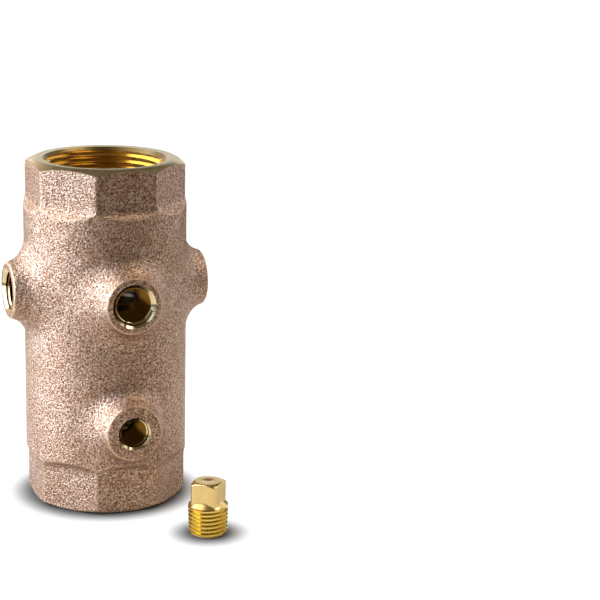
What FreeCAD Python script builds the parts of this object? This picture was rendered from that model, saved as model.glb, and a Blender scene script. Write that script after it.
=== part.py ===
import FreeCAD, Part
import math
import os

# In-line spring check valve, a backflow preventer for water pipes, with its loose square-head plug.
# The body stands on its inlet end, +Z is the way the water flows, and the origin is on the pipe axis at
# the inlet face. Four tapped bosses face -Y (front), -X (left), +X (right) and +Y (back), and a smaller
# port sits below the front one. The check inside is a seat ring and a cage, dropped in from the outlet
# end and held by a snap ring, with a guided poppet and a spring between them. Lengths are in millimetres.

Vector = FreeCAD.Vector
UP = Vector(0, 0, 1)
ORIGIN = Vector(0, 0, 0)

# --- body: octagonal wrench ends and a round barrel ---
across_flats = 50.8
inlet_wrench_length = 15.5  # end face to shoulder
outlet_wrench_length = 14.2  # more is faced off this end
barrel_step = 0.3  # barrel radius over the octagon's corners
end_face_margin = 1.2  # edge of the turned end face to the flats
end_chamfer_angle = 27.0  # from the end face
outlet_reach = 44.0  # ring of ports to outlet face

# --- taper pipe threads, held here as plain bores at their crest radius at the mouth ---
main_thread_r = 19.2
main_thread_length = 22.0
main_mouth = 1.9  # 45 degree countersink
bore_step = 0.95  # thread crest down to the smooth bore
ring_port_r = 5.65
ring_port_mouth = 1.85
low_port_r = 4.35
low_port_mouth = 1.3
low_port_height = 31.0

# --- bosses round the ports ---
boss_height = 6.6  # face above the barrel
boss_face_r = 9.5
boss_draft = 2.2  # extra radius where the boss meets the barrel
ring_boss_fillet = 5.0
low_boss_fillet = 1.0  # its root lies close to the wrench end's shoulder

# --- check cartridge ---
ledge_gap = 0.65  # low port to ledge
ledge_height = 3.0
ledge_width = 2.6
cartridge_clearance = 0.1  # radial, in the smooth bore
seat_height = 6.0
seat_lip_height = 1.0
seat_lip_width = 1.5
leg_thickness = 2.25
leg_width = 5.0
leg_count = 3
poppet_clearance = 1.4  # poppet to cage legs
seal_overlap = 3.0  # poppet edge beyond the throat
poppet_lift = 6.5
cage_ring_height = 3.5
cage_ring_width = 3.6
arm_width = 3.4
seat_arm_height = 3.2
hub_wall = 1.5
hub_drop = 1.0  # cage hub below its arms

# --- stem, bushes and seal ---
stem_r = 2.0
stem_running_clearance = 0.05
bush_wall = 1.15
stem_tail = 1.0  # below the lower bush when closed
stem_head = 1.5  # above the cage when closed
seal_thickness = 1.4
disc_thickness = 2.6
disc_collar_height = 1.6
disc_collar_r = 4.6
seal_washer_margin = 3.0  # washer's rim to the throat's wall
seal_washer_thickness = 0.9
nut_across_flats = 7.0
nut_height = 2.2
nut_gap = 0.6  # nut to lower guide when closed

# --- spring, its washer and the snap ring ---
wire_d = 1.0
spring_mean_r = 6.6
spring_turns = 5.0
spring_spare = 0.5  # gap left when the coils are nearly solid
spring_washer_thickness = 1.0
spring_washer_r = 8.6
spring_washer_slack = 0.1
snap_ring_thickness = 1.2
snap_ring_groove = 1.1
snap_ring_width = 2.8
snap_ring_slack = 0.05
snap_ring_gap_angle = 34.0
snap_ring_lug_r = 2.0
snap_ring_eye_r = 0.85
port_gap = 1.15  # snap ring to the ring ports

# --- O-ring of the seat ring ---
o_ring_cord_r = 0.9
o_ring_slack = 0.02

# --- loose plug, standing on its thread end beside the body ---
plug_thread_r = 6.8
plug_thread_length = 10.2
plug_square = 9.53
plug_corner_r = 6.15
plug_head_height = 8.1
plug_top_chamfer = 0.7
plug_end_chamfer = 0.6
plug_dimple_r = 2.2
plug_dimple_depth = 0.35
plug_x = 20.0
plug_y = -52.0
plug_turn = -41.4

# --- sizes that follow from the ones above ---
flat_r = across_flats / 2
corner_r = flat_r / math.cos(math.radians(22.5))
barrel_r = corner_r + barrel_step
boss_face = barrel_r + boss_height
bore_r = main_thread_r - bore_step

cartridge_r = bore_r - cartridge_clearance
leg_inner_r = cartridge_r - leg_thickness
poppet_r = leg_inner_r - poppet_clearance
throat_r = poppet_r - seal_overlap
seal_washer_r = throat_r - seal_washer_margin
ledge_r = bore_r - ledge_width
bush_r = stem_r + stem_running_clearance + bush_wall
hub_r = bush_r + hub_wall

ledge_bottom = low_port_height + low_port_r + ledge_gap
ledge_top = ledge_bottom + ledge_height
seat_rim_top = ledge_top + seat_height
seat_lip_top = seat_rim_top + seat_lip_height
disc_bottom = seat_lip_top + seal_thickness
disc_top = disc_bottom + disc_thickness
nut_bottom = seat_lip_top - seal_washer_thickness - nut_height
seat_hub_top = nut_bottom - nut_gap
seat_hub_bottom = seat_hub_top - seat_arm_height
spring_length = poppet_lift + (spring_turns + 1) * wire_d * 0.92 + spring_spare
spring_top = disc_top + spring_length
cage_bottom = spring_top + spring_washer_thickness
cage_top = cage_bottom + cage_ring_height
snap_ring_top = cage_top + snap_ring_thickness
ring_port_height = snap_ring_top + port_gap + ring_port_r
body_length = ring_port_height + outlet_reach


def revolve(outline):
    """A turned solid from (radius, height) points, in order round its section."""
    points = [Vector(r, 0, z) for r, z in outline]
    face = Part.Face(Part.makePolygon(points + points[:1]))
    return face.revolve(ORIGIN, UP, 360)


def tube(outer_r, inner_r, bottom, top):
    """A plain ring between two heights."""
    return revolve([(inner_r, bottom), (outer_r, bottom), (outer_r, top), (inner_r, top)])


def cylinder(radius, bottom, top):
    """A round bar along Z."""
    return Part.makeCylinder(radius, top - bottom, Vector(0, 0, bottom))


def octagon(inner_r, height):
    """An octagon wire with its flats facing the ports."""
    reach = inner_r / math.cos(math.radians(22.5))
    corners = []
    for index in range(9):
        angle = math.radians(22.5 + 45 * index)
        corners.append(Vector(reach * math.cos(angle), reach * math.sin(angle), height))
    return Part.makePolygon(corners)


def turn(shape, angle):
    """A copy turned about the pipe axis, in degrees."""
    copy = shape.copy()
    copy.rotate(ORIGIN, UP, angle)
    return copy


def around(shape, count):
    """One shape fused with its copies, evenly spaced round the pipe axis."""
    copies = [turn(shape, 360 / count * index) for index in range(1, count)]
    return shape.multiFuse(copies)


def facing_front(shape, height):
    """Lay a shape made along +Z so that it points out of the front of the body at a height."""
    shape.rotate(ORIGIN, Vector(1, 0, 0), 90)
    shape.translate(Vector(0, 0, height))
    return shape


def wrench_end(length):
    """An octagon that runs up into the round barrel through a sloped shoulder, and the cut end face."""
    flare = barrel_r - flat_r + barrel_step + 1
    top = length + flare
    prism = Part.Face(octagon(flat_r, 0)).extrude(UP * length)
    shoulder = Part.makeLoft([octagon(flat_r, length), octagon(flat_r + flare, top)], True)
    face_r = flat_r - end_face_margin
    rise = (barrel_r - face_r) * math.tan(math.radians(end_chamfer_angle))
    turned = revolve([(0, 0), (face_r, 0), (barrel_r, rise), (barrel_r, top), (0, top)])
    return prism.fuse(shoulder).common(turned), top


def casting():
    """The body's outside, before the bosses."""
    inlet, inlet_top = wrench_end(inlet_wrench_length)
    outlet, outlet_top = wrench_end(outlet_wrench_length)
    outlet = outlet.mirror(Vector(0, 0, body_length / 2), UP)
    barrel = cylinder(barrel_r, inlet_top, body_length - outlet_top)
    return barrel.multiFuse([inlet, outlet]).removeSplitter()


def boss():
    """One boss, a short cone along +Z whose wide end is inside the wall."""
    inside = bore_r + (barrel_r - bore_r) / 2
    slope = boss_draft / boss_height
    root_r = boss_face_r + slope * (boss_face - inside)
    return Part.makeCone(root_r, boss_face_r, boss_face - inside, Vector(0, 0, inside))


def boss_roots(shape, height):
    """The edges where the bosses at one height meet the barrel."""
    roots = []
    for edge in shape.Edges:
        points = edge.discretize(12)
        on_barrel = all(abs(math.hypot(p.x, p.y) - barrel_r) < 0.01 for p in points)
        near = all(abs(p.z - height) < 1.5 * boss_face_r for p in points)
        if on_barrel and near and edge.BoundBox.ZLength > boss_face_r:
            roots.append(edge)
    return roots


def port_bore(thread_r, mouth):
    """The cutter of one port along +Z: a bore into the waterway with a 45 degree countersink."""
    outline = [(0, 0), (thread_r, 0), (thread_r, boss_face - mouth), (thread_r + mouth, boss_face)]
    return revolve(outline + [(thread_r + mouth, boss_face + 1), (0, boss_face + 1)])


def waterway():
    """Everything bored out along the pipe axis: threads, smooth bore, ledge and snap ring groove."""
    mouth_r = main_thread_r + main_mouth
    groove_r = bore_r + snap_ring_groove
    outlet_thread = body_length - main_thread_length
    return revolve(
        [
            (0, -1),
            (mouth_r, -1),
            (mouth_r, 0),
            (main_thread_r, main_mouth),
            (main_thread_r, main_thread_length),
            (bore_r, main_thread_length),
            (bore_r, ledge_bottom),
            (ledge_r, ledge_bottom),
            (ledge_r, ledge_top),
            (bore_r, ledge_top),
            (bore_r, cage_top),
            (groove_r, cage_top),
            (groove_r, snap_ring_top),
            (bore_r, snap_ring_top),
            (bore_r, outlet_thread),
            (main_thread_r, outlet_thread),
            (main_thread_r, body_length - main_mouth),
            (mouth_r, body_length),
            (mouth_r, body_length + 1),
            (0, body_length + 1),
        ]
    )


def valve_body():
    """The casting with its bosses, bored and tapped."""
    ring_boss = facing_front(boss(), ring_port_height)
    low_boss = facing_front(boss(), low_port_height)
    shape = casting().multiFuse([turn(ring_boss, 90 * index) for index in range(4)] + [low_boss])
    shape = shape.makeFillet(ring_boss_fillet, boss_roots(shape, ring_port_height))
    shape = shape.makeFillet(low_boss_fillet, boss_roots(shape, low_port_height))
    ring_port = facing_front(port_bore(ring_port_r, ring_port_mouth), ring_port_height)
    low_port = facing_front(port_bore(low_port_r, low_port_mouth), low_port_height)
    cuts = [turn(ring_port, 90 * index) for index in range(4)] + [low_port, waterway()]
    return shape.cut(cuts)


def spokes(inner_r, outer_r, width, bottom, top):
    """The arms between a hub and a rim, one over each leg."""
    length = outer_r - inner_r
    arm = Part.makeBox(length, width, top - bottom, Vector(inner_r, -width / 2, bottom))
    return around(arm, leg_count)


def seat_ring():
    """Ring on the body's ledge with a raised seat, an O-ring groove and the lower guide on three arms."""
    groove_r = cartridge_r + cartridge_clearance - 2 * o_ring_cord_r - 2 * o_ring_slack
    groove_half = o_ring_cord_r + 0.25
    middle = ledge_top + seat_height / 2
    lip_r = throat_r + seat_lip_width
    ring = revolve(
        [
            (throat_r, ledge_top),
            (cartridge_r, ledge_top),
            (cartridge_r, middle - groove_half),
            (groove_r, middle - groove_half),
            (groove_r, middle + groove_half),
            (cartridge_r, middle + groove_half),
            (cartridge_r, seat_rim_top),
            (lip_r + seat_lip_height, seat_rim_top),
            (lip_r, seat_lip_top),
            (throat_r, seat_lip_top),
        ]
    )
    hub = tube(hub_r, bush_r, seat_hub_bottom, seat_hub_top)
    arms = spokes(bush_r + hub_wall / 2, throat_r + 0.5, arm_width, seat_hub_bottom, seat_hub_top)
    return ring.multiFuse([hub, arms]).removeSplitter()


def seat_o_ring():
    """Round rubber cord in the seat ring's groove."""
    centre_r = bore_r - o_ring_slack - o_ring_cord_r
    return Part.makeTorus(centre_r, o_ring_cord_r, Vector(0, 0, ledge_top + seat_height / 2))


def guide_bush(bottom, top):
    """Plain bush, pressed in its hub and running on the stem."""
    return tube(bush_r, stem_r + stem_running_clearance, bottom, top)


def check_cage():
    """Three legs on the seat ring's rim, a top ring under the snap ring and a hub for the upper bush."""
    ring = tube(cartridge_r, cartridge_r - cage_ring_width, cage_bottom, cage_top)
    leg_blank = Part.makeBox(leg_thickness + 1, leg_width, cage_top - seat_rim_top)
    leg_blank.translate(Vector(leg_inner_r, -leg_width / 2, seat_rim_top))
    legs = around(leg_blank, leg_count).common(tube(cartridge_r, leg_inner_r, seat_rim_top, cage_top))
    hub = tube(hub_r, bush_r, cage_bottom - hub_drop, cage_top)
    arms = spokes(bush_r + hub_wall / 2, cartridge_r - cage_ring_width / 2, arm_width, cage_bottom, cage_top)
    return ring.multiFuse([legs, hub, arms]).removeSplitter()


def poppet_disc():
    """Brass disc with a collar on top that centres the spring."""
    disc = tube(poppet_r, stem_r, disc_bottom, disc_top)
    collar = tube(disc_collar_r, stem_r, disc_top, disc_top + disc_collar_height)
    return disc.fuse(collar).removeSplitter()


def poppet_stem():
    """Round bar through the poppet and both bushes, with chamfered ends."""
    bottom = seat_hub_bottom - stem_tail
    top = cage_top + stem_head
    tip = stem_r * 0.7
    cut = stem_r - tip
    outline = [(0, bottom), (tip, bottom), (stem_r, bottom + cut)]
    return revolve(outline + [(stem_r, top - cut), (tip, top), (0, top)])


def seal_disc():
    """Rubber disc that closes on the seat lip."""
    return tube(poppet_r, stem_r, seat_lip_top, disc_bottom)


def seal_washer():
    """Washer that clamps the rubber disc."""
    return tube(seal_washer_r, stem_r, seat_lip_top - seal_washer_thickness, seat_lip_top)


def seal_nut():
    """Hexagon nut under the washer."""
    reach = nut_across_flats / 2 / math.cos(math.radians(30))
    corners = []
    for index in range(7):
        angle = math.radians(60 * index)
        corners.append(Vector(reach * math.cos(angle), reach * math.sin(angle), nut_bottom))
    block = Part.Face(Part.makePolygon(corners)).extrude(UP * nut_height)
    return block.cut(cylinder(stem_r, nut_bottom - 1, nut_bottom + nut_height + 1))


def closing_spring():
    """Round wire wound between the poppet and the spring washer."""
    wire_r = wire_d / 2
    height = spring_length - wire_d
    helix = Part.makeLongHelix(height / spring_turns, height, spring_mean_r)
    helix.translate(Vector(0, 0, disc_top + wire_r))
    start = Vector(spring_mean_r, 0, disc_top + wire_r)
    along = Vector(0, 2 * math.pi * spring_mean_r, height / spring_turns)
    section = Part.Wire(Part.makeCircle(wire_r, start, along))
    return Part.Wire(helix.Edges).makePipeShell([section], True, True)


def spring_washer():
    """Flat seat for the spring, round the cage's hub."""
    return tube(spring_washer_r, hub_r + spring_washer_slack, spring_top, cage_bottom)


def snap_ring():
    """Internal retaining ring with a gap and two eyed lugs, sprung into its groove."""
    outer_r = bore_r + snap_ring_groove - snap_ring_slack
    middle_r = outer_r - snap_ring_width / 2
    ring = tube(outer_r, outer_r - snap_ring_width, cage_top, snap_ring_top)
    half = math.radians(snap_ring_gap_angle / 2)
    reach = 2 * outer_r
    wedge = Part.Face(
        Part.makePolygon(
            [
                Vector(0, 0, cage_top),
                Vector(reach * math.cos(half), reach * math.sin(half), cage_top),
                Vector(reach * math.cos(half), -reach * math.sin(half), cage_top),
                Vector(0, 0, cage_top),
            ]
        )
    ).extrude(UP * snap_ring_thickness)
    ring = ring.cut(wedge)
    lugs, eyes = [], []
    lug_r = middle_r - snap_ring_width / 2
    for side in (-1, 1):
        x, y = lug_r * math.cos(half), side * lug_r * math.sin(half)
        lugs.append(cylinder(snap_ring_lug_r, cage_top, snap_ring_top).translated(Vector(x, y, 0)))
        eyes.append(cylinder(snap_ring_eye_r, cage_top, snap_ring_top).translated(Vector(x, y, 0)))
    return ring.multiFuse(lugs).cut(eyes).removeSplitter()


def pipe_plug():
    """Square head with turned corners and top edge over a short taper thread."""
    thread = revolve(
        [
            (0, 0),
            (plug_thread_r - plug_end_chamfer, 0),
            (plug_thread_r, plug_end_chamfer),
            (plug_thread_r, plug_thread_length),
            (0, plug_thread_length),
        ]
    )
    top = plug_thread_length + plug_head_height
    half = plug_square / 2
    square = Part.makeBox(plug_square, plug_square, plug_head_height, Vector(-half, -half, plug_thread_length))
    turned = revolve(
        [
            (0, plug_thread_length),
            (plug_corner_r, plug_thread_length),
            (plug_corner_r, top - plug_top_chamfer),
            (plug_corner_r - 2 * plug_top_chamfer, top),
            (plug_dimple_r, top),
            (0, top - plug_dimple_depth),
        ]
    )
    plug = turn(thread.fuse(square.common(turned)), plug_turn)
    plug.translate(Vector(plug_x, plug_y, 0))
    return plug


nodes = {
    "valve_body": valve_body(),
    "seat_ring": seat_ring(),
    "seat_o_ring": seat_o_ring(),
    "lower_bush": guide_bush(seat_hub_bottom, seat_hub_top),
    "check_cage": check_cage(),
    "upper_bush": guide_bush(cage_bottom - hub_drop, cage_top),
    "poppet_disc": poppet_disc(),
    "poppet_stem": poppet_stem(),
    "seal_disc": seal_disc(),
    "seal_washer": seal_washer(),
    "seal_nut": seal_nut(),
    "closing_spring": closing_spring(),
    "spring_washer": spring_washer(),
    "snap_ring": snap_ring(),
    "pipe_plug": pipe_plug(),
}

os.makedirs("parts", exist_ok=True)
for name, shape in nodes.items():
    shape.exportStep(f"parts/{name}.step")
    print(f"{name}: valid {shape.isValid()}, {len(shape.Solids)} solid, {shape.Volume:.1f} mm3")
print(f"body length {body_length:.2f}, ring ports at {ring_port_height:.2f}, bore radius {bore_r:.2f}")
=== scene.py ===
import math

import bpy
import numpy as np
from mathutils import Matrix, Vector, noise


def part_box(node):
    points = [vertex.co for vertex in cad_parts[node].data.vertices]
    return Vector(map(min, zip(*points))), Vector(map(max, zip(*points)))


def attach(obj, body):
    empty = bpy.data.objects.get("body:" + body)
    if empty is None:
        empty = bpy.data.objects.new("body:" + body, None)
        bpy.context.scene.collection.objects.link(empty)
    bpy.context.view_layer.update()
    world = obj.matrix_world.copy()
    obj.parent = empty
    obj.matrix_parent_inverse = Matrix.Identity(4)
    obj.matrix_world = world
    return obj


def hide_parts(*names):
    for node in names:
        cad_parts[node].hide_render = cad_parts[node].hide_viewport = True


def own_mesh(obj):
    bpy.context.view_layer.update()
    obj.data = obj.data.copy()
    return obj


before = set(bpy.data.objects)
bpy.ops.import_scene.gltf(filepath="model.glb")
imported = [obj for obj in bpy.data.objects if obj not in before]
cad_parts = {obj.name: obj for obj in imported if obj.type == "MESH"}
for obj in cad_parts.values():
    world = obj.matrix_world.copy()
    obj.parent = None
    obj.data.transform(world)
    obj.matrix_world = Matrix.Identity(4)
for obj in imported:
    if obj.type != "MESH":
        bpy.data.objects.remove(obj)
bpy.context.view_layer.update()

# ---- Valve body, as cast ----
# Sand-cast bronze, about 1.4 kg: an octagon at each end for the wrench, a round barrel between them, and a
# tapped boss at each side, with one more below the front one. The pattern's edges are rounded, and the sand
# leaves a fine stipple whose high points are lighter from rubbing and whose pits are coloured darker, a
# painted shade. The edges carry a lighter band of colour, partly from rubbing and partly a painted
# highlight.
MM = 0.001
body_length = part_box("valve_body")[1].z / MM
boss_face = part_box("valve_body")[1].x / MM
flat_r = 25.4
inlet_wrench, outlet_wrench = 15.5, 14.2
barrel_r = flat_r / math.cos(math.radians(22.5)) + 0.3
boss_face_r = 9.5
boss_slope = 2.2 / 6.6  # the side of a boss leans so that the pattern draws out of the sand
boss_core = 20.0  # a boss starts inside the wall, this far from the pipe axis
boss_foot = 12.0  # from a boss's middle to about where its side meets the barrel
ring_height = 75.02
low_height = 31.0
corner_round = 0.45
shoulder_round = 0.3
shoulder_fillet = 0.9
rim_round = 0.55
ring_fillet = 5.2
low_fillet = 3.6
cast_ripple, ripple_width = 0.05, 5.0  # slow waves that the sand leaves in the skin
sand_grain, sand_fines = 0.6, 0.3  # drawn coarser than the real sand, so that the stipple shows
sand_relief = 0.29
patch_width = 9.0  # of the slow change of tone over the skin
rim_rub_and_highlight = 0.7  # how far the bosses' rims are lightened towards bare metal: rubbing and a painted highlight
line_wear_and_highlight = 0.35  # and the octagon's corners and shoulders, as a share of that
line_width, rim_width = 0.3, 0.4  # of the lightened bands


def linear(code):
    """An sRGB hex colour as the linear values that a shader takes."""
    channels = [int(code[place : place + 2], 16) / 255 for place in (1, 3, 5)]
    return tuple(c / 12.92 if c <= 0.04045 else ((c + 0.055) / 1.055) ** 2.4 for c in channels) + (1.0,)


def add(tree, kind, settings=None, inputs=None, stops=None):
    """A node with its settings, its input values or links, and the stops of its colour ramp."""
    node = tree.nodes.new(kind)
    for name, value in (settings or {}).items():
        setattr(node, name, value)
    for name, value in (inputs or {}).items():
        if isinstance(value, bpy.types.NodeSocket):
            tree.links.new(value, node.inputs[name])
        else:
            node.inputs[name].default_value = value
    for index, (place, colour) in enumerate(stops or []):
        ramp = node.color_ramp.elements
        stop = ramp[index] if index < 2 else ramp.new(place)
        stop.position = place
        stop.color = colour
    return node


def solid(name, points, faces, materials=()):
    """An object from points in millimetres."""
    mesh = bpy.data.meshes.new(name)
    mesh.from_pydata([tuple(MM * c for c in point) for point in points], [], faces)
    for material in materials:
        mesh.materials.append(material)
    made = bpy.data.objects.new(name, mesh)
    bpy.context.scene.collection.objects.link(made)
    return made


def rounded_overlap(a, b, radius):
    """Where two signed distances are both inside, with the edge between them rounded."""
    past_edge = np.hypot(np.maximum(a + radius, 0), np.maximum(b + radius, 0))
    return np.minimum(-radius, np.maximum(a, b)) + past_edge


def filleted_join(a, b, radius):
    """Where either of two signed distances is inside, with a fillet between them."""
    in_corner = np.hypot(np.maximum(radius - a, 0), np.maximum(radius - b, 0))
    return np.maximum(radius, np.minimum(a, b)) - in_corner


def near_edge(a, b, width):
    """1 on the edge where two surfaces meet, falling to 0 over a width."""
    return np.exp(-(((a - b) / width) ** 2))


def wrench_planes(x, y, z):
    """Signed distances to the nearest flat and the next one, each with its shoulder."""
    radius, angle = np.hypot(x, y), np.arctan2(y, x)
    off = np.abs((angle + math.pi / 8) % (math.pi / 4) - math.pi / 8)
    climb = np.minimum(z - inlet_wrench, body_length - z - outlet_wrench)
    planes = []
    for turn in (off, math.pi / 4 - off):
        flat = radius * np.cos(turn) - flat_r
        planes.append(filleted_join(flat, (flat - climb) / math.sqrt(2), shoulder_fillet))
    return planes


def boss_surfaces(out, across, up):
    """Signed distances to a boss's side and face; out is along its axis."""
    lean = math.cos(math.atan(boss_slope))
    side = (np.hypot(across, up) - boss_face_r - boss_slope * (boss_face - out)) * lean
    return np.maximum(side, boss_core - out), out - boss_face


def all_bosses(x, y, z):
    """Side and face of each boss with its fillet: four round the barrel and the low one."""
    places = [(-y, x, z - low_height, low_fillet)]
    for out, across in ((-y, x), (x, y), (y, -x), (-x, -y)):
        places.append((out, across, z - ring_height, ring_fillet))
    return [(*boss_surfaces(out, across, up), fillet) for out, across, up, fillet in places]


def casting(x, y, z):
    """Signed distance to the casting's skin, in millimetres."""
    octagon = rounded_overlap(*wrench_planes(x, y, z), corner_round)
    skin = rounded_overlap(octagon, np.hypot(x, y) - barrel_r, shoulder_round)
    for side, face, fillet in all_bosses(x, y, z):
        skin = filleted_join(skin, rounded_overlap(side, face, rim_round), fillet)
    return skin


def reach(field, start, along, near, far):
    """How far from each start point, along each direction, a signed distance changes sign, by halving."""
    low, high = np.full(len(along), near), np.full(len(along), far)
    for _ in range(34):
        middle = (low + high) / 2
        inside = field(*(start + along * middle[:, None]).T) < 0
        low, high = np.where(inside, middle, low), np.where(inside, high, middle)
    return (low + high) / 2


def runs(*parts):
    """Grid lines from (start, end, steps) runs that follow on from each other."""
    lines = [np.linspace(start, end, steps + 1)[1:] for start, end, steps in parts]
    return np.concatenate([[parts[0][0]], *lines])


def cast_skin():
    """The casting's skin as a closed tube of quads, its lines gathered at the edges and round the bosses."""
    corner_line = boss_face * math.tan(math.radians(22.5))  # from a boss's middle to the octagon's corner
    rim, outside = 8.6, 13.4  # lines gather between these, for a boss's rim and the root of its fillet
    boss_lines = runs((0, rim, 8), (rim, boss_foot, 11), (boss_foot, outside, 3), (outside, corner_line, 4))
    to_corner = np.degrees(np.arctan(boss_lines / boss_face))
    past_corner = runs((22.5, 23.9, 4), (23.9, 45.0, 14))[1:]  # degrees, to the middle of the next flat
    eighth = np.concatenate([to_corner, past_corner])
    quarter = np.concatenate([-eighth[:0:-1], eighth[:-1]])
    angles = np.radians(np.concatenate([quarter + 90 * turn for turn in range(4)]))
    down, up = boss_lines[:0:-1], boss_lines
    over = 1  # cast past each end, and faced off later
    inlet_shoulder = 14.6  # lines gather above this one, and between the next two
    outlet_shoulder = 101.6, 105.6
    from_inlet = runs((-over, inlet_shoulder, 11), (inlet_shoulder, low_height - corner_line, 9))[:-1]
    between = runs((low_height + corner_line, ring_height - corner_line, 10))[1:-1]
    to_outlet = runs(
        (ring_height + corner_line, outlet_shoulder[0], 8),
        (*outlet_shoulder, 16),
        (outlet_shoulder[1], body_length + over, 10),
    )[1:]
    low_boss = [low_height - down, low_height + up]
    ring_boss = [ring_height - down, ring_height + up]
    heights = np.concatenate([from_inlet, *low_boss, between, *ring_boss, to_outlet])
    angle, height = [grid.ravel() for grid in np.meshgrid(angles, heights)]
    places = [(-math.pi / 2, low_height)] + [(math.pi / 2 * turn, ring_height) for turn in range(4)]
    for facing, centre in places:  # the square grid is drawn into rings round each boss
        off = (angle - facing + math.pi) % (2 * math.pi) - math.pi
        across = boss_face * np.tan(np.clip(off, -1, 1))
        rise = height - centre
        square = np.maximum(np.abs(across), np.abs(rise))
        fade = np.clip((corner_line - square) / (corner_line - boss_foot), 0, 1)
        fade = fade * fade * (3 - 2 * fade)
        pull = 1 + fade * (square / np.maximum(np.hypot(across, rise), 1e-9) - 1)
        angle = np.where(square < corner_line, facing + np.arctan(across * pull / boss_face), angle)
        height = np.where(square < corner_line, centre + rise * pull, height)
    along = np.stack([np.cos(angle), np.sin(angle), np.zeros_like(angle)], 1)
    start = np.stack([np.zeros_like(height), np.zeros_like(height), height], 1)
    points = start + along * reach(casting, start, along, boss_core, boss_face + 10.0)[:, None]
    ripple = np.array([noise.noise(Vector(point) / ripple_width) for point in points])
    points -= along * (cast_ripple * (0.5 + np.clip(ripple, -0.5, 0.5)))[:, None]
    columns, rows = len(angles), len(heights)
    faces = []
    for row in range(rows - 1):
        for column in range(columns):
            after = (column + 1) % columns
            low, high = row * columns, (row + 1) * columns
            faces.append((low + column, low + after, high + after, high + column))
    faces.append(tuple(range(columns))[::-1])
    faces.append(tuple((rows - 1) * columns + column for column in range(columns)))
    return points, faces


def metal(name, colour, rough, bump_height):
    """Material, tree, shader, bump and object coordinates of a metal, to be given its pattern."""
    material = bpy.data.materials.new(name)
    material.use_nodes = True
    tree = material.node_tree
    shader = tree.nodes["Principled BSDF"]
    shader.inputs["Metallic"].default_value = 1.0
    shader.inputs["Base Color"].default_value = linear(colour)  # for a viewer that shows no pattern
    shader.inputs["Roughness"].default_value = rough
    place = add(tree, "ShaderNodeTexCoord")
    bump = add(tree, "ShaderNodeBump", None, {"Strength": 1.0, "Distance": bump_height * MM})
    tree.links.new(bump.outputs["Normal"], shader.inputs["Normal"])
    return material, tree, shader, bump, place.outputs["Object"]


def sand_cast_bronze():
    """Bronze from a sand mould, shot-blasted: dull pinkish tan, stippled; painted shade darkens the pits,
    and the edges are lighter, from rubbing and a painted highlight.
    """
    material, tree, shader, bump, place = metal("sand_cast_bronze", "#b8947b", 0.5, sand_relief)
    grain = add(tree, "ShaderNodeTexNoise", None,
                {"Vector": place, "Scale": 1 / (sand_grain * MM), "Detail": 2.0})
    fine = add(tree, "ShaderNodeTexNoise", None,
               {"Vector": place, "Scale": 1 / (sand_fines * MM), "Detail": 1.0})
    patches = add(tree, "ShaderNodeTexNoise", None,
                  {"Vector": place, "Scale": 1 / (patch_width * MM), "Detail": 3.0})
    height = add(tree, "ShaderNodeMath", {"operation": "MULTIPLY_ADD"},
                 {0: fine.outputs["Fac"], 1: 0.25, 2: grain.outputs["Fac"]})
    tree.links.new(height.outputs[0], bump.inputs["Height"])
    # The colour follows the stipple's height: lighter on the high points, and darker in the pits, a painted
    # shade.
    tone = add(tree, "ShaderNodeValToRGB", None, {"Fac": height.outputs[0]},
               [(0.47, linear("#795c47")), (0.83, linear("#ebd9cc")), (0.63, linear("#b69a85"))])
    warm = add(tree, "ShaderNodeValToRGB", None, {"Fac": patches.outputs["Fac"]},
               [(0.3, linear("#f2e4d8")), (0.7, linear("#fffaf6"))])
    mixed = add(tree, "ShaderNodeMix", {"data_type": "RGBA", "blend_type": "MULTIPLY"},
                {0: 1.0, 6: tone.outputs["Color"], 7: warm.outputs["Color"]})
    # The edges' lighter colour: partly rubbing, partly a painted highlight where a rounded edge catches the
    # light.
    wear_and_edge_highlight = add(tree, "ShaderNodeAttribute", {"attribute_name": "wear_and_edge_highlight"})
    worn_and_highlit = add(tree, "ShaderNodeMath", {"operation": "MULTIPLY"}, {0: wear_and_edge_highlight.outputs["Fac"], 1: rim_rub_and_highlight})
    colour = add(tree, "ShaderNodeMix", {"data_type": "RGBA"},
                 {0: worn_and_highlit.outputs[0], 6: mixed.outputs[2], 7: linear("#e6c39a")})
    tree.links.new(colour.outputs[2], shader.inputs["Base Color"])
    rough = add(tree, "ShaderNodeMapRange", None,
                {"Value": grain.outputs["Fac"], "From Min": 0.3, "From Max": 0.7,
                 "To Min": 0.48, "To Max": 0.36})
    tree.links.new(rough.outputs["Result"], shader.inputs["Roughness"])
    return material


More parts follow.
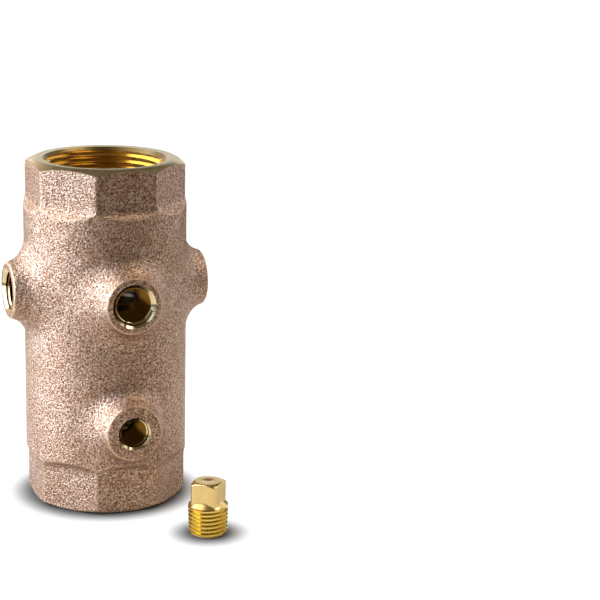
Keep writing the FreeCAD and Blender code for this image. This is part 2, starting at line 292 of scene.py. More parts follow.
def turned_metal(name, colour, rough, spacing, height, centre=(0.0, 0.0)):
    """Metal cut on a lathe: rings of tool marks round an upright axis, drawn wider than the real feed."""
    material, tree, shader, bump, place = metal(name, colour, rough, height)
    middle = add(tree, "ShaderNodeMapping", None, {"Vector": place, "Location": (-centre[0], -centre[1], 0)})
    flat = add(tree, "ShaderNodeVectorMath", {"operation": "MULTIPLY"}, {0: middle.outputs[0], 1: (1, 1, 0)})
    radius = add(tree, "ShaderNodeVectorMath", {"operation": "LENGTH"}, {0: flat.outputs[0]})
    high = add(tree, "ShaderNodeSeparateXYZ", None, {0: middle.outputs[0]})
    both = add(tree, "ShaderNodeMath", {"operation": "MULTIPLY_ADD"},
               {0: high.outputs["Z"], 1: 0.7, 2: radius.outputs["Value"]})
    rings = add(tree, "ShaderNodeTexNoise", {"noise_dimensions": "1D"},
                {"W": both.outputs[0], "Scale": 1 / (spacing * MM), "Detail": 2.0})
    tree.links.new(rings.outputs["Fac"], bump.inputs["Height"])
    smear = add(tree, "ShaderNodeTexNoise", None, {"Vector": place, "Scale": 1 / (2.5 * MM), "Detail": 3.0})
    spread = add(tree, "ShaderNodeMapRange", None,
                 {"Value": smear.outputs["Fac"], "From Min": 0.3, "From Max": 0.7,
                  "To Min": rough * 0.88, "To Max": rough * 1.18})
    tree.links.new(spread.outputs["Result"], shader.inputs["Roughness"])
    tint = add(tree, "ShaderNodeMix", {"data_type": "RGBA", "blend_type": "MULTIPLY"},
               {0: 0.2, 6: linear(colour), 7: smear.outputs["Fac"]})
    tree.links.new(tint.outputs[2], shader.inputs["Base Color"])
    return material


cast_bronze = sand_cast_bronze()
points, faces = cast_skin()
valve_body = solid("cast_valve_body", points, faces, [cast_bronze])

# ---- Threads, bores and end faces of the body ----
# The casting is faced, bored and tapped with taper pipe taps: 1 1/4 in. at both ends, 1/4 in. at the four
# ports of the ring and 1/8 in. at the low one. The cut threads keep a bright yellow, sharp-edged finish.
TAPER = 1 / 32  # change of radius along a taper pipe thread
main_crest, main_pitch, main_depth = 19.2, 25.4 / 11.5, 1.77
main_length, main_mouth = 22.0, 1.9
ring_crest, ring_pitch, ring_depth, ring_mouth = 5.65, 25.4 / 18, 1.13, 1.85
low_crest, low_pitch, low_depth, low_mouth = 4.35, 25.4 / 27, 0.753, 1.3
ring_tap_length = low_tap_length = 15.0
bore_r = 18.25
ledge_hole_r = 15.65
ledge, groove = (36.0, 39.0), (67.02, 68.22)  # the seat ring's ledge and the snap ring's groove, in height
groove_depth = 1.1
face_r = flat_r - 1.2
face_slope = 27  # degrees that the end falls away outside the flat ring
drill_margin = 0.35  # left between a port's drilled hole and its thread's crest

# Turned off square: a pale, greenish gold, with soft rings that catch the light at the ends.
faced_bronze = turned_metal("faced_bronze", "#dccb9e", 0.3, 0.22, 0.02)
# Bored: a dull olive brown, darker than the faced ends, which keeps the inside dark.
bored_bronze = turned_metal("bored_bronze", "#7d6840", 0.34, 0.3, 0.02)
# Cut by a sharp tap: bright yellow flanks that mirror the light in narrow bands.
cut_thread = turned_metal("cut_thread_brass", "#fcdf9e", 0.2, 0.35, 0.006)
# Countersunk: a smooth bright ring, almost a mirror, round each port.
port_chamfer = turned_metal("port_chamfer_brass", "#e6d2a4", 0.14, 0.3, 0.008)
# Tapped deep in a boss: the tapped metal coloured a darker, browner gold, a painted shade for the depth; it
# goes black away from the mouth.
port_thread_painted_shade = turned_metal("port_thread_brass", "#7f5a20", 0.22, 0.35, 0.004)


def taper_thread_tree():
    """A tapered bar along +Z with a V ridge wound up it, which fades in and out by a share of a turn."""
    tree = bpy.data.node_groups.new("taper thread", "GeometryNodeTree")
    for name, kind in (("Radius", "Float"), ("Taper", "Float"), ("Pitch", "Float"), ("Depth", "Float"),
                       ("Length", "Float"), ("Fade In", "Float"), ("Fade Out", "Float"), ("Facets", "Int"),
                       ("Finish", "Material")):
        tree.interface.new_socket(name, in_out="INPUT", socket_type="NodeSocket" + kind)
    tree.interface.new_socket("Geometry", in_out="OUTPUT", socket_type="NodeSocketGeometry")
    size = tree.nodes.new("NodeGroupInput").outputs
    turns = add(tree, "ShaderNodeMath", {"operation": "DIVIDE"},
                {0: size["Length"], 1: size["Pitch"]}).outputs[0]
    end_radius = add(tree, "ShaderNodeMath", {"operation": "MULTIPLY_ADD"},
                     {0: size["Length"], 1: size["Taper"], 2: size["Radius"]}).outputs[0]
    path = add(tree, "GeometryNodeCurveSpiral", None,
               {"Resolution": size["Facets"], "Rotations": turns, "Start Radius": size["Radius"],
                "End Radius": end_radius, "Height": size["Length"], "Reverse": True})  # right-handed
    upright = add(tree, "GeometryNodeSetCurveNormal", {"mode": "Z_UP"}, {"Curve": path.outputs[0]})
    share = add(tree, "GeometryNodeSplineParameter").outputs["Factor"]
    along = add(tree, "ShaderNodeMath", {"operation": "MULTIPLY"}, {0: share, 1: turns}).outputs[0]
    left = add(tree, "ShaderNodeMath", {"operation": "SUBTRACT"}, {0: turns, 1: along}).outputs[0]
    rise = add(tree, "ShaderNodeMath", {"operation": "DIVIDE"}, {0: along, 1: size["Fade In"]}).outputs[0]
    fall = add(tree, "ShaderNodeMath", {"operation": "DIVIDE"}, {0: left, 1: size["Fade Out"]}).outputs[0]
    ramp = add(tree, "ShaderNodeMath", {"operation": "MINIMUM"}, {0: rise, 1: fall}).outputs[0]
    capped = add(tree, "ShaderNodeMath", {"operation": "MINIMUM"}, {0: ramp, 1: 1.0}).outputs[0]
    grown_share = add(tree, "ShaderNodeMath", {"operation": "MAXIMUM"}, {0: capped, 1: 0.03}).outputs[0]
    buried = add(tree, "ShaderNodeMath", {"operation": "MULTIPLY"}, {0: size["Depth"], 1: 0.08}).outputs[0]
    tall = add(tree, "ShaderNodeMath", {"operation": "ADD"}, {0: size["Depth"], 1: buried}).outputs[0]
    root = add(tree, "ShaderNodeMath", {"operation": "MULTIPLY"}, {0: size["Pitch"], 1: 0.96}).outputs[0]
    crest = add(tree, "ShaderNodeMath", {"operation": "MULTIPLY"}, {0: size["Pitch"], 1: 0.2}).outputs[0]
    vee = add(tree, "GeometryNodeCurvePrimitiveQuadrilateral", {"mode": "TRAPEZOID"},
              {"Height": tall, "Bottom Width": root, "Top Width": crest, "Offset": 0.0})
    half = add(tree, "ShaderNodeMath", {"operation": "MULTIPLY"}, {0: tall, 1: 0.5}).outputs[0]
    lift = add(tree, "ShaderNodeMath", {"operation": "SUBTRACT"}, {0: half, 1: buried}).outputs[0]
    shift = add(tree, "ShaderNodeCombineXYZ", None, {"Y": lift})
    placed = add(tree, "GeometryNodeTransform", None,
                 {"Geometry": vee.outputs[0], "Translation": shift.outputs[0]})
    turned = add(tree, "GeometryNodeTransform", None,  # so that the V points away from the axis
                 {"Geometry": placed.outputs[0], "Rotation": (0.0, 0.0, -math.pi / 2)})
    ridge = add(tree, "GeometryNodeCurveToMesh", None,
                {"Curve": upright.outputs[0], "Profile Curve": turned.outputs[0], "Scale": grown_share,
                 "Fill Caps": True})
    bar = add(tree, "GeometryNodeMeshCone", None,
              {"Vertices": size["Facets"], "Radius Bottom": size["Radius"], "Radius Top": end_radius,
               "Depth": size["Length"]})
    joined = add(tree, "GeometryNodeMeshBoolean", {"operation": "UNION", "solver": "MANIFOLD"})
    tree.links.new(ridge.outputs[0], joined.inputs["Mesh 2"])
    tree.links.new(bar.outputs["Mesh"], joined.inputs["Mesh 2"])
    real = add(tree, "GeometryNodeRealizeInstances", None, {"Geometry": joined.outputs["Mesh"]})
    finish = add(tree, "GeometryNodeSetMaterial", None,
                 {"Geometry": real.outputs[0], "Material": size["Finish"]})
    add(tree, "NodeGroupOutput", None, {"Geometry": finish.outputs[0]})
    return tree


thread_tree = taper_thread_tree()


def grown(name, tree, **inputs):
    """The plain mesh that a Geometry Nodes tree gives for these inputs."""
    host = solid(name, [], [])
    modifier = host.modifiers.new("nodes", "NODES")
    modifier.node_group = tree
    for socket in tree.interface.items_tree:
        if socket.in_out == "INPUT":
            modifier[socket.identifier] = inputs[socket.name.replace(" ", "_").lower()]
    graph = bpy.context.evaluated_depsgraph_get()
    mesh = bpy.data.meshes.new_from_object(host.evaluated_get(graph))
    bpy.data.objects.remove(host)
    return mesh


def thread(name, radius, pitch, depth, length, facets, finish, fade_in=0.8, fade_out=0.02):
    """A threaded bar from z 0, as a mesh in metres; its radius is the smaller end's."""
    return grown(name, thread_tree, radius=radius * MM, taper=TAPER, pitch=pitch * MM, depth=depth * MM,
                 length=length * MM, fade_in=fade_in, fade_out=fade_out, facets=facets, finish=finish)


def lathe(name, outline, segments, material):
    """A turned object from (radius, height) points whose first and last lie on the axis."""
    points, faces = [], []
    last = len(outline) - 1
    for index, (radius, height) in enumerate(outline):
        count = 1 if index in (0, last) else segments
        for step in range(count):
            angle = 2 * math.pi * step / segments
            points.append((radius * math.cos(angle), radius * math.sin(angle), height))
    ring = [1 + segments * index for index in range(last - 1)]
    for step in range(segments):
        after = (step + 1) % segments
        faces.append((0, ring[0] + after, ring[0] + step))
        for low, high in zip(ring, ring[1:]):
            faces.append((low + step, low + after, high + after, high + step))
        faces.append((ring[-1] + step, ring[-1] + after, len(points) - 1))
    return solid(name, points, faces, [material])


def carve(piece, tools, operation="DIFFERENCE"):
    """Cut the tools out of a piece, which keeps their finish on the cut faces, and throw the tools away."""
    for tool in tools:
        modifier = piece.modifiers.new(tool.name, "BOOLEAN")
        modifier.operation = operation
        modifier.object = tool
        modifier.solver = "MANIFOLD"
        modifier.material_mode = "TRANSFER"
    graph = bpy.context.evaluated_depsgraph_get()
    mesh = bpy.data.meshes.new_from_object(piece.evaluated_get(graph))
    piece.modifiers.clear()
    piece.data = mesh
    for tool in tools:
        bpy.data.objects.remove(tool)


def tap(name, place, crest, pitch, depth, length, facets, finish):
    """A taper tap whose wide end is 1 mm past the mouth at a place, which turns +Z out of the mouth."""
    over = 1.0
    mesh = thread(name, crest - TAPER * length, pitch, depth, length + over, facets, finish)
    tool = bpy.data.objects.new(name, mesh)
    bpy.context.scene.collection.objects.link(tool)
    tool.matrix_world = place @ Matrix.Translation((0, 0, -length * MM))
    return tool


def facing(name, place):
    """The cutter that leaves a flat ring at an end and a shallow cone outside it."""
    over = 3
    far = barrel_r + over
    fall = (far - face_r) * math.tan(math.radians(face_slope))
    tool = lathe(name, [(0, 0), (face_r, 0), (far, -fall), (far, over), (0, over)], 192, faced_bronze)
    tool.matrix_world = place
    return tool


def waterway():
    """The boring tool: countersunk mouths, smooth bore, the check's ledge and the snap ring's groove."""
    over = 1.0
    wide = main_crest + main_mouth + over
    groove_r = bore_r + groove_depth
    outline = [(0, -over), (wide, -over), (bore_r, main_crest + main_mouth - bore_r)]
    outline += [(bore_r, ledge[0]), (ledge_hole_r, ledge[0] + 0.1)]
    outline += [(ledge_hole_r, ledge[1]), (bore_r, ledge[1])]
    outline += [(bore_r, groove[0]), (groove_r, groove[0]), (groove_r, groove[1]), (bore_r, groove[1])]
    outline += [(bore_r, body_length - main_crest - main_mouth + bore_r), (wide, body_length + over)]
    return lathe("waterway", outline + [(0, body_length + over)], 192, bored_bronze)


def port_mouth(name, place, crest, mouth):
    """A countersink and the hole below it, through to the waterway."""
    over = 1.0
    slim = crest - drill_margin
    depth = boss_face - bore_r + 3  # right through the wall
    wide = crest + mouth + over
    outline = [(0, over), (wide, over), (slim, slim - crest - mouth), (slim, -depth), (0, -depth)]
    tool = lathe(name, outline[::-1], 96, port_chamfer)
    tool.matrix_world = place
    return tool


def facing_out(angle, height):
    """The place of a port's mouth, +Z outwards, for a boss at an angle round the barrel."""
    return (
        Matrix.Rotation(math.radians(angle), 4, "Z")
        @ Matrix.Translation((boss_face * MM, 0, height * MM))
        @ Matrix.Rotation(math.pi / 2, 4, "Y")
    )


inlet = Matrix.Rotation(math.pi, 4, "X")
outlet = Matrix.Translation((0, 0, body_length * MM))
tools = [facing("inlet_facing", inlet), facing("outlet_facing", outlet), waterway()]
for name, place in (("inlet_tap", inlet), ("outlet_tap", outlet)):
    tools.append(tap(name, place, main_crest, main_pitch, main_depth, main_length, 112, cut_thread))
for index in range(4):
    place = facing_out(90 * index, ring_height)
    tools.append(port_mouth(f"ring_mouth_{index}", place, ring_crest, ring_mouth))
    cut = ring_crest, ring_pitch, ring_depth, ring_tap_length
    tools.append(tap(f"ring_tap_{index}", place, *cut, 56, port_thread_painted_shade))
place = facing_out(-90, low_height)
tools.append(port_mouth("low_mouth", place, low_crest, low_mouth))
tools.append(tap("low_tap", place, low_crest, low_pitch, low_depth, low_tap_length, 56, port_thread_painted_shade))
carve(valve_body, tools)


def mark_wear_and_edge_highlight(piece):
    """Store where the casting's edges are, and how near, for their lighter colour: rubbing and a painted
    highlight.
    """
    mesh = piece.data
    places = np.empty(len(mesh.vertices) * 3)
    mesh.vertices.foreach_get("co", places)
    x, y, z = places.reshape(-1, 3).T / MM
    radius = np.hypot(x, y)
    first, second = wrench_planes(x, y, z)
    octagon = np.maximum(first, second)
    barrel = radius - barrel_r
    wear_and_edge_highlight = line_wear_and_highlight * near_edge(first, second, line_width) * (octagon > barrel - line_width)
    wear_and_edge_highlight = np.maximum(wear_and_edge_highlight, line_wear_and_highlight * near_edge(octagon, barrel, line_width))
    for side, face, _ in all_bosses(x, y, z):
        wear_and_edge_highlight = np.maximum(wear_and_edge_highlight, near_edge(side, face, rim_width))
    layer = mesh.attributes.new("wear_and_edge_highlight", "FLOAT", "POINT")
    layer.data.foreach_set("value", wear_and_edge_highlight.astype(np.float32))


mark_wear_and_edge_highlight(valve_body)
valve_body.data.shade_smooth()
valve_body.data.set_sharp_from_angle(angle=math.radians(28))
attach(valve_body, "body")
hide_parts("valve_body")

# ---- Pipe plug ----
# A 1/4 in. taper pipe plug turned and milled from yellow brass bar: a square head whose corners are what is
# left of the round bar, a chamfered top with a lathe dimple, and a thread cut right up to the head.
plug_x, plug_y, plug_turn = 20, -52, -41.4
plug_place = Matrix.Translation((plug_x * MM, plug_y * MM, 0))
plug_place = plug_place @ Matrix.Rotation(math.radians(plug_turn), 4, "Z")
thread_height = 10.2
head_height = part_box("pipe_plug")[1].z / MM - thread_height
square_half = 9.53 / 2
bar_r = 6.15
top_fall = 0.5  # the chamfer's slope
flat_top_r = 4.75
dimple_r, dimple_depth = 2.4, 0.22
edge_round, top_round, corner_break = 0.22, 0.3, 0.1
neck_r, neck_slope = 6.75, 1.5  # the cone that the flats run out on
neck_fillet = 0.25
plug_core_r = 5.4
plug_pitch, plug_depth = 25.4 / 18, 1.06
plug_axis = plug_x * MM, plug_y * MM
# Drawn bar, milled and tumbled: a soft, warm yellow with a satin gloss.
bar_brass = turned_metal("bar_brass", "#efd08a", 0.24, 0.3, 0.012, plug_axis)
# Cut by a die: a stronger yellow than the head, and glossier, so each crest shows as a bright line.
plug_thread_brass = turned_metal("plug_thread_brass", "#f0d678", 0.17, 0.3, 0.006, plug_axis)


def plug_head(x, y, z):
    """Signed distance to the head, whose middle is the origin, in millimetres."""
    radius = np.hypot(x, y)
    half = head_height / 2
    square = rounded_overlap(np.abs(x) - square_half, np.abs(y) - square_half, corner_break)
    turned = rounded_overlap(square, radius - bar_r, edge_round)
    neck = (radius - neck_r + (z + half) * neck_slope) / math.hypot(1, neck_slope)
    turned = filleted_join(turned, np.maximum(neck, z + half - 2), neck_fillet)
    fall = math.atan(top_fall)
    slope = (z - half + (radius - flat_top_r) * top_fall) * math.cos(fall)
    top = rounded_overlap(slope, z - half, top_round)
    dimple = z - half + dimple_depth * np.clip(1 - radius / dimple_r, 0, 1)
    head = rounded_overlap(turned, np.maximum(top, dimple), edge_round)
    return np.maximum(head, -z - half - 1)


def head_grid():
    """Rays from the middle of the head, gathered at its edges, as points and closed faces."""
    half = head_height / 2
    meet = math.degrees(math.acos(square_half / bar_r))
    eighth = runs((0, meet - 5, 9), (meet - 5, 45, 14))
    quarter = np.concatenate([-eighth[:0:-1], eighth[:-1]])
    angles = np.radians(np.concatenate([quarter + 90 * turn for turn in range(4)]))
    edge = math.degrees(math.atan2(square_half, half))
    corner = math.degrees(math.atan2(bar_r, half - 0.7))
    dimple = math.degrees(math.atan2(dimple_r, half))
    above, below = edge - 6, corner + 6  # the top's edges lie between these tilts, in degrees
    tilts = runs((4, dimple, 7), (dimple, above, 6), (above, below, 28), (below, 128, 22))
    tilts = np.radians(tilts)
    angle, tilt = [grid.ravel() for grid in np.meshgrid(angles, tilts)]
    along = np.stack([np.sin(tilt) * np.cos(angle), np.sin(tilt) * np.sin(angle), np.cos(tilt)], 1)
    points = along * reach(plug_head, np.zeros(3), along, 0.5, 12.0)[:, None]
    points = np.concatenate([points, [[0, 0, half - dimple_depth], [0, 0, -half - 1]]])
    points[:, 2] += thread_height + half
    columns, rows = len(angles), len(tilts)
    faces = []
    for column in range(columns):
        after = (column + 1) % columns
        faces.append((rows * columns, column, after))
        for row in range(rows - 1):
            low, high = row * columns, (row + 1) * columns
            faces.append((low + after, low + column, high + column, high + after))
        faces.append((rows * columns + 1, (rows - 1) * columns + after, (rows - 1) * columns + column))
    return points, faces


pipe_plug = solid("square_head_pipe_plug", *head_grid(), [bar_brass])
# What the head's shape leaves below its foot is cut away, and the thread is put there.
trim = lathe("plug_trim", [(0, -4), (14, -4), (14, thread_height), (0, thread_height)], 64, bar_brass)
carve(pipe_plug, [trim])
mesh = thread("plug_thread", plug_core_r, plug_pitch, plug_depth, thread_height + 0.2, 96, plug_thread_brass,
              fade_in=0.3, fade_out=0.7)
plug_thread = bpy.data.objects.new("plug_thread", mesh)
bpy.context.scene.collection.objects.link(plug_thread)
# The thread runs out on a chamfer at its tip and, at its top, on the cone below the head.
over, clear_r = 0.3, 8
neck_foot = thread_height - (clear_r - neck_r) / neck_slope
outline = [(0, 0), (plug_core_r - 0.1, 0), (plug_core_r + 1.5, 1.4), (clear_r, 2.2), (clear_r, neck_foot)]
outline += [(neck_r - over * neck_slope, thread_height + over), (0, thread_height + over)]
end_cut = lathe("end_cut", outline, 96, plug_thread_brass)
carve(plug_thread, [end_cut], "INTERSECT")
carve(pipe_plug, [plug_thread], "UNION")
pipe_plug.data.transform(plug_place)
pipe_plug.data.shade_smooth()
pipe_plug.data.set_sharp_from_angle(angle=math.radians(30))
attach(pipe_plug, "plug")
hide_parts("pipe_plug")

# ---- Check cartridge ----
# A turned brass seat ring and a cage with three legs, dropped in from the outlet and held by a steel snap
# ring. White acetal bushes guide the stainless stem; the rubber disc and the O-ring are moulded.

# Turned from bar and left as cut: a mid gold with fine rings.
cartridge_brass = turned_metal("cartridge_brass", "#b39a66", 0.3, 0.25, 0.015)


def dull(name, colour, rough, grain, height):
    """Rubber or plastic with a fine even grain."""
    material = bpy.data.materials.new(name)
    material.use_nodes = True
    tree = material.node_tree
    shader = tree.nodes["Principled BSDF"]
    shader.inputs["Roughness"].default_value = rough
    place = add(tree, "ShaderNodeTexCoord")
    speck = add(tree, "ShaderNodeTexNoise", None,
                {"Vector": place.outputs["Object"], "Scale": 1 / (grain * MM), "Detail": 3.0})
    bump = add(tree, "ShaderNodeBump", None, {"Strength": 1.0, "Distance": height * MM,
                                              "Height": speck.outputs["Fac"]})
    tone = add(tree, "ShaderNodeMix", {"data_type": "RGBA", "blend_type": "MULTIPLY"},
               {0: 0.25, 6: linear(colour), 7: speck.outputs["Fac"]})
    tree.links.new(tone.outputs[2], shader.inputs["Base Color"])
    tree.links.new(bump.outputs["Normal"], shader.inputs["Normal"])
    return material


# Drawn or stamped stainless steel: a cool grey gloss, the brightest thing inside.
drawn_stainless = turned_metal("drawn_stainless", "#c4c4c6", 0.22, 0.2, 0.008)
# Moulded rubber: almost black, with a broad dull sheen.
moulded_rubber = dull("moulded_rubber", "#262626", 0.55, 0.4, 0.02)
# Acetal turned from rod: a milky white with a waxy gloss.
turned_acetal = dull("turned_acetal", "#ecebe4", 0.4, 0.3, 0.01)
finishes = {
    "seat_ring": cartridge_brass,
    "check_cage": cartridge_brass,
    "poppet_disc": cartridge_brass,
    "poppet_stem": drawn_stainless,
    "seal_washer": drawn_stainless,
    "spring_washer": drawn_stainless,
    "snap_ring": drawn_stainless,
    "lower_bush": turned_acetal,
    "upper_bush": turned_acetal,
    "seal_disc": moulded_rubber,
    "seat_o_ring": moulded_rubber,
}
for name, material in finishes.items():
    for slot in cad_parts[name].material_slots:
        slot.material = material

# ---- Closing spring ----
# Wound from 1 mm stainless spring wire, five turns with a dead coil at each end. It stands on the poppet's
# disc and bears on the washer under the cage's hub; the real spring shortens as the poppet lifts, but this
# one is wound at one length and moves with the body.
spring_low, spring_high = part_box("closing_spring")
wire_r = 0.5
coil_r = 6.6
coil_turns = 5.0
dead_pitch = 1.04  # the end coils lie just clear of each other


def coil_spring_tree():
    """A compression spring along +Z whose first and last turns lie closed."""
    tree = bpy.data.node_groups.new("coil spring", "GeometryNodeTree")
    for name, kind in (("Coil Radius", "Float"), ("Wire Radius", "Float"), ("Turns", "Float"),
                       ("Dead Pitch", "Float"), ("Height", "Float"), ("Finish", "Material")):
        tree.interface.new_socket(name, in_out="INPUT", socket_type="NodeSocket" + kind)
    tree.interface.new_socket("Geometry", in_out="OUTPUT", socket_type="NodeSocketGeometry")
    size = tree.nodes.new("NodeGroupInput").outputs
    path = add(tree, "GeometryNodeCurveSpiral", None,
               {"Resolution": 48, "Rotations": size["Turns"], "Start Radius": size["Coil Radius"],
                "End Radius": size["Coil Radius"], "Height": 0.0, "Reverse": True})
    share = add(tree, "GeometryNodeSplineParameter").outputs["Factor"]
    turn = add(tree, "ShaderNodeMath", {"operation": "MULTIPLY"}, {0: share, 1: size["Turns"]}).outputs[0]
    dead = add(tree, "ShaderNodeMath", {"operation": "MULTIPLY"}, {0: size["Turns"], 1: size["Dead Pitch"]})
    open_rise = add(tree, "ShaderNodeMath", {"operation": "SUBTRACT"},
                    {0: size["Height"], 1: dead.outputs[0]})
    last = add(tree, "ShaderNodeMath", {"operation": "SUBTRACT"}, {0: size["Turns"], 1: 1.0})
    opened = add(tree, "ShaderNodeMapRange", None,
                 {"Value": turn, "From Min": 1.0, "From Max": last.outputs[0], "To Min": 0.0,
                  "To Max": open_rise.outputs[0]})
    rise = add(tree, "ShaderNodeMath", {"operation": "MULTIPLY_ADD"},
               {0: turn, 1: size["Dead Pitch"], 2: opened.outputs["Result"]})
    offset = add(tree, "ShaderNodeCombineXYZ", None, {"Z": rise.outputs[0]})
    wound = add(tree, "GeometryNodeSetPosition", None,
                {"Geometry": path.outputs[0], "Offset": offset.outputs[0]})
    section = add(tree, "GeometryNodeCurvePrimitiveCircle", None,
                  {"Resolution": 14, "Radius": size["Wire Radius"]})
    wire = add(tree, "GeometryNodeCurveToMesh", None,
               {"Curve": wound.outputs[0], "Profile Curve": section.outputs[0], "Fill Caps": True})
    real = add(tree, "GeometryNodeRealizeInstances", None, {"Geometry": wire.outputs[0]})
    finish = add(tree, "GeometryNodeSetMaterial", None,
                 {"Geometry": real.outputs[0], "Material": size["Finish"]})
    add(tree, "NodeGroupOutput", None, {"Geometry": finish.outputs[0]})
    return tree


wire_rise = (spring_high.z - spring_low.z) / MM - 2 * wire_r
mesh = grown("closing_spring_wire", coil_spring_tree(), coil_radius=coil_r * MM, wire_radius=wire_r * MM,
             turns=coil_turns, dead_pitch=dead_pitch * MM, height=wire_rise * MM, finish=drawn_stainless)
mesh.transform(Matrix.Translation((0, 0, spring_low.z + wire_r * MM)))
closing_spring = bpy.data.objects.new("wound_closing_spring", mesh)
bpy.context.scene.collection.objects.link(closing_spring)
closing_spring.data.shade_smooth()
closing_spring.data.set_sharp_from_angle(angle=math.radians(50))
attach(closing_spring, "body")
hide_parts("closing_spring")
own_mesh(closing_spring)

# ---- Seal nut ----
# A stainless hexagon nut, chamfered on both faces, that clamps the washer and the rubber disc to the poppet.
nut_low, nut_high = [corner.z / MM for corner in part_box("seal_nut")]
nut_flat = 3.5
nut_corner = nut_flat / math.cos(math.pi / 6)
nut_chamfer, chamfer_run = 0.3, 0.1
nut_hole = 2.0
hole_lead = 1.2
turns = [math.pi / 3 * side for side in range(6)]
ring = [(nut_corner * math.cos(turn), nut_corner * math.sin(turn)) for turn in turns]
points = [(x, y, nut_low) for x, y in ring] + [(x, y, nut_high) for x, y in ring]
faces = [tuple(range(6))[::-1], tuple(range(6, 12))]
faces += [(side, (side + 1) % 6, (side + 1) % 6 + 6, side + 6) for side in range(6)]
seal_nut = solid("chamfered_seal_nut", points, faces, [drawn_stainless])
outer, inner = nut_corner + 0.02, nut_flat - chamfer_run
outline = [(0, nut_low), (inner, nut_low), (outer, nut_low + nut_chamfer)]
outline += [(outer, nut_high - nut_chamfer), (inner, nut_high), (0, nut_high)]
carve(seal_nut, [lathe("nut_chamfers", outline, 96, drawn_stainless)], "INTERSECT")
outline = [(0, nut_low - 1), (nut_hole + hole_lead, nut_low - 1), (nut_hole, nut_low + 0.2)]
outline += [(nut_hole, nut_high - 0.2), (nut_hole + hole_lead, nut_high + 1), (0, nut_high + 1)]
carve(seal_nut, [lathe("nut_hole", outline, 64, drawn_stainless)])
seal_nut.data.shade_smooth()
seal_nut.data.set_sharp_from_angle(angle=math.radians(25))
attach(seal_nut, "poppet")
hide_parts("seal_nut")

# ---- Floor, lights and camera ----
# The two pieces stand on a plain white sweep, with a large soft box at their left and a weaker one at the
# right. Boxes behind, and high up at both sides, light the edges, the mouth and the turned end. The sweep
# glows, so that it stays white, and glows less round the foot of each piece, a painted shade there. A second
# sheet glows in place of the light that real paper would throw back, with the same kind of painted shade.


def glowing_sheet_with_painted_shade(name, colour, near, far, width):
    """White paper that glows, and glows less close to the foot of each piece, which paints a shade there."""
    material = bpy.data.materials.new(name)
    material.use_nodes = True
    tree = material.node_tree
    shader = tree.nodes["Principled BSDF"]
    shader.inputs["Base Color"].default_value = linear(colour)
    shader.inputs["Roughness"].default_value = 0.9
    shader.inputs["Emission Color"].default_value = linear("#ffffff")
    place = add(tree, "ShaderNodeTexCoord").outputs["Object"]
    # How far each point lies from each piece's foot, which sets the painted shade.
    shade_gaps = []
    for foot, radius in (((0, 0, 0), 25 * MM), (tuple(plug_place.translation), 5 * MM)):
        away = add(tree, "ShaderNodeVectorMath", {"operation": "DISTANCE"}, {0: place, 1: foot})
        gap = add(tree, "ShaderNodeMath", {"operation": "SUBTRACT"}, {0: away.outputs["Value"], 1: radius})
        shade_gaps.append(gap.outputs[0])
    nearest = add(tree, "ShaderNodeMath", {"operation": "MINIMUM"}, {0: shade_gaps[0], 1: shade_gaps[1]})
    glow = add(tree, "ShaderNodeMapRange", {"interpolation_type": "SMOOTHSTEP"},
               {"Value": nearest.outputs[0], "From Min": 0.0, "From Max": width,
                "To Min": near, "To Max": far})
    tree.links.new(glow.outputs["Result"], shader.inputs["Emission Strength"])
    return material


def sheet(name, half, height, material):
    """A square sheet on the stage; half its side and its height are in millimetres."""
    corners = [(-half, -half, height), (half, -half, height), (half, half, height), (-half, half, height)]
    made = solid(name, corners, [(0, 1, 2, 3)], [material])
    return made


# Matt grey paper that glows up to pure white, and stays grey close to a piece: a painted soft shade there.
white_sweep = glowing_sheet_with_painted_shade("white_sweep", "#5c5a58", 0.0, 1.0, 0.0115)
# Matt paper that only the pieces see: a weak warm light from below, which glows less near each foot, a
# painted shade there.
bounce_paper = glowing_sheet_with_painted_shade("bounce_paper", "#ccc2b8", 0.1, 0.25, 0.03)
floor = sheet("floor", 9000, 0, white_sweep)
floor.visible_glossy = False
bounce = sheet("bounce_sheet", 220, 0.05, bounce_paper)
bounce.visible_camera = False
bounce.visible_shadow = False
bounce.visible_diffuse = False

# A long lens looks at the front from a little to the left and above; places are in metres.
camera_place = Vector((-0.1804, -0.6197, 0.2358))
forward = Vector((0.3661, 0.8965, -0.2494))
right = Vector((0.9276, -0.3729, 0.0212))
up = right.cross(forward)
camera = bpy.data.objects.new("camera", bpy.data.cameras.new("camera"))
camera.data.lens = 115.0
camera.matrix_world = Matrix.Translation(camera_place) @ Matrix((right, up, -forward)).transposed().to_4x4()
bpy.context.scene.collection.objects.link(camera)
bpy.context.scene.camera = camera


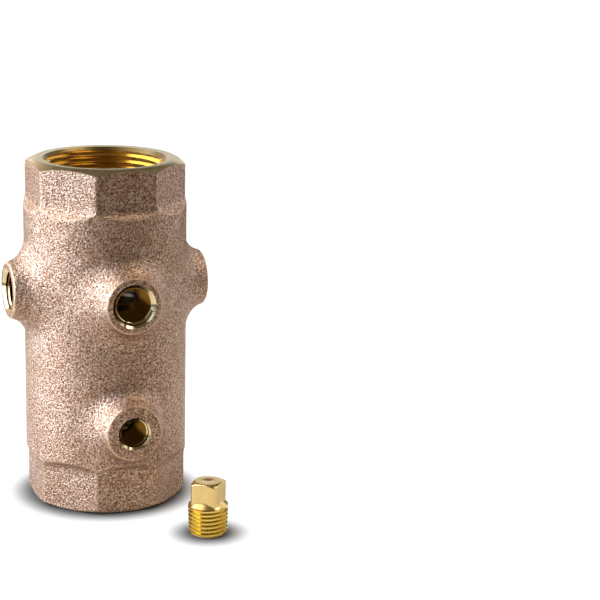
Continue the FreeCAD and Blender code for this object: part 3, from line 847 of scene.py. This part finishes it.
def soft_box(name, azimuth, elevation, distance, size, power, colour="#ffffff"):
    """An area light aimed at the middle of the object; azimuth is from the camera's side, left positive."""
    middle = Vector((0, 0, 0.06))
    view = math.atan2(camera_place.y, camera_place.x)
    angle = view - math.radians(azimuth)
    lift = math.radians(elevation)
    away = Vector((math.cos(angle) * math.cos(lift), math.sin(angle) * math.cos(lift), math.sin(lift)))
    lamp = bpy.data.lights.new(name, "AREA")
    lamp.shape = "RECTANGLE"
    lamp.size, lamp.size_y = size
    lamp.energy = power
    lamp.color = linear(colour)[:3]
    made = bpy.data.objects.new(name, lamp)
    aim = away.to_track_quat("Z", "Y").to_matrix().to_4x4()
    made.matrix_world = Matrix.Translation(middle + away * distance) @ aim
    made.visible_camera = False
    bpy.context.scene.collection.objects.link(made)


# Angles in degrees, distance and size in metres, power in watts.
soft_box("key_box", 88, 23, 0.9, (1.25, 1.2), 30.0, "#dfecff")
soft_box("fill_box", -112, 14, 0.9, (1.0, 0.8), 3.1, "#f4f8ff")
soft_box("edge_box", 148, 12, 0.9, (0.6, 0.8), 1.2, "#ffe6c0")
soft_box("back_box", 180, 14, 1.2, (1.2, 0.3), 1.3)
soft_box("high_left_box", 84, 64, 0.9, (0.4, 0.35), 0.9, "#fff4e0")
soft_box("high_right_box", -98, 58, 0.9, (0.35, 0.35), 2.4, "#fff4e0")

# The studio is plain white where the camera looks past the sweep, and a weak warm light on the pieces.
world = bpy.data.worlds.new("studio")
world.use_nodes = True
bpy.context.scene.world = world
tree = world.node_tree
tree.nodes.clear()
rays = add(tree, "ShaderNodeLightPath")
dim = add(tree, "ShaderNodeBackground", None, {"Color": linear("#ffe6c8"), "Strength": 0.11})
white = add(tree, "ShaderNodeBackground", None, {"Color": linear("#ffffff"), "Strength": 1.0})
mixed = add(tree, "ShaderNodeMixShader", None,
            {0: rays.outputs["Is Camera Ray"], 1: dim.outputs[0], 2: white.outputs[0]})
add(tree, "ShaderNodeOutputWorld", None, {"Surface": mixed.outputs[0]})
bpy.context.scene.view_settings.view_transform = "Standard"
